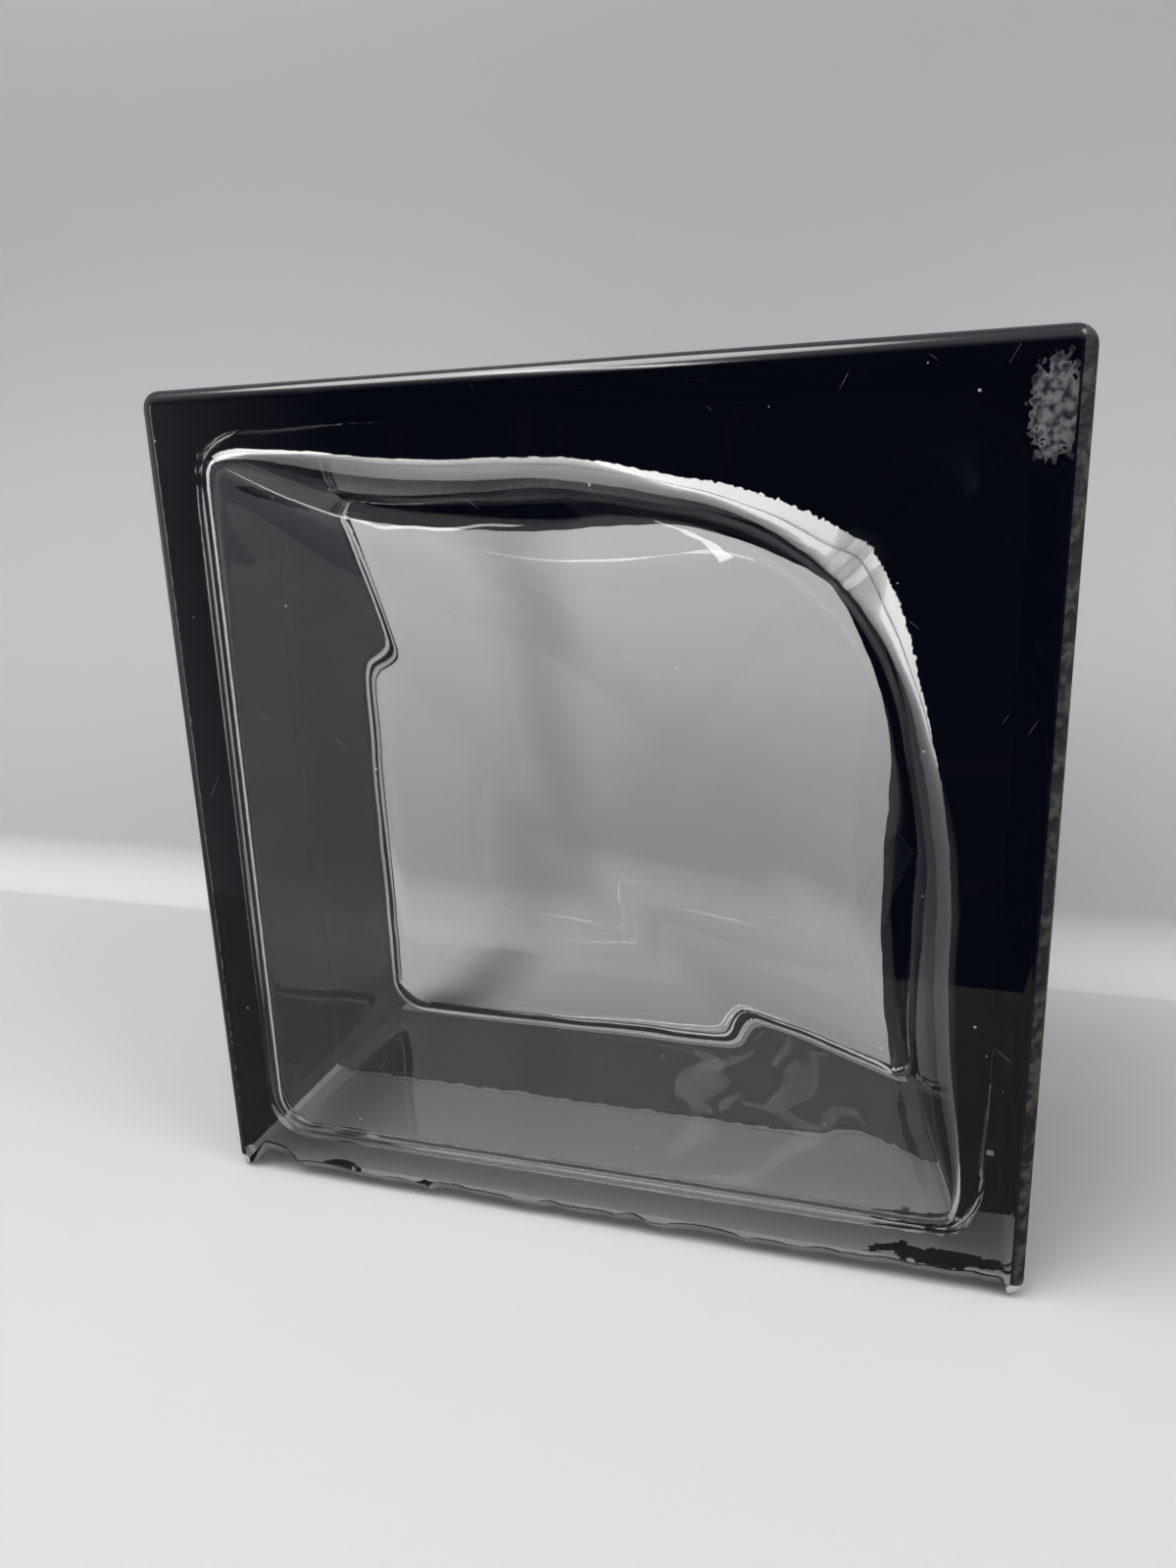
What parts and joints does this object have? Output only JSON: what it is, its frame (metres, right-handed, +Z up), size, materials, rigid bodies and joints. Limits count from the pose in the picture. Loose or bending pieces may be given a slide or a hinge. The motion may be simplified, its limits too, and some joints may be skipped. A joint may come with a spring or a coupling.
{
  "type": "glass block",
  "caption": "Square hollow glass block with flat clear faces, scooped inside, and dark coated edges with a shallow mortar key, for laying in a glass wall.",
  "frame": {"origin": "centre of the block's underside, midway between its two faces", "axes": "+X to the right seen from the front, +Y into the block's depth with the front face at -Y, +Z up"},
  "size_m": [0.197, 0.098, 0.197],
  "materials": {
    "glass": "glossy clear pressed glass, black coat on the mortar edges, worn and ragged at its front edge"
  },
  "bodies": {
    "root": {"glass_block": "glass"}
  },
  "joints": []
}
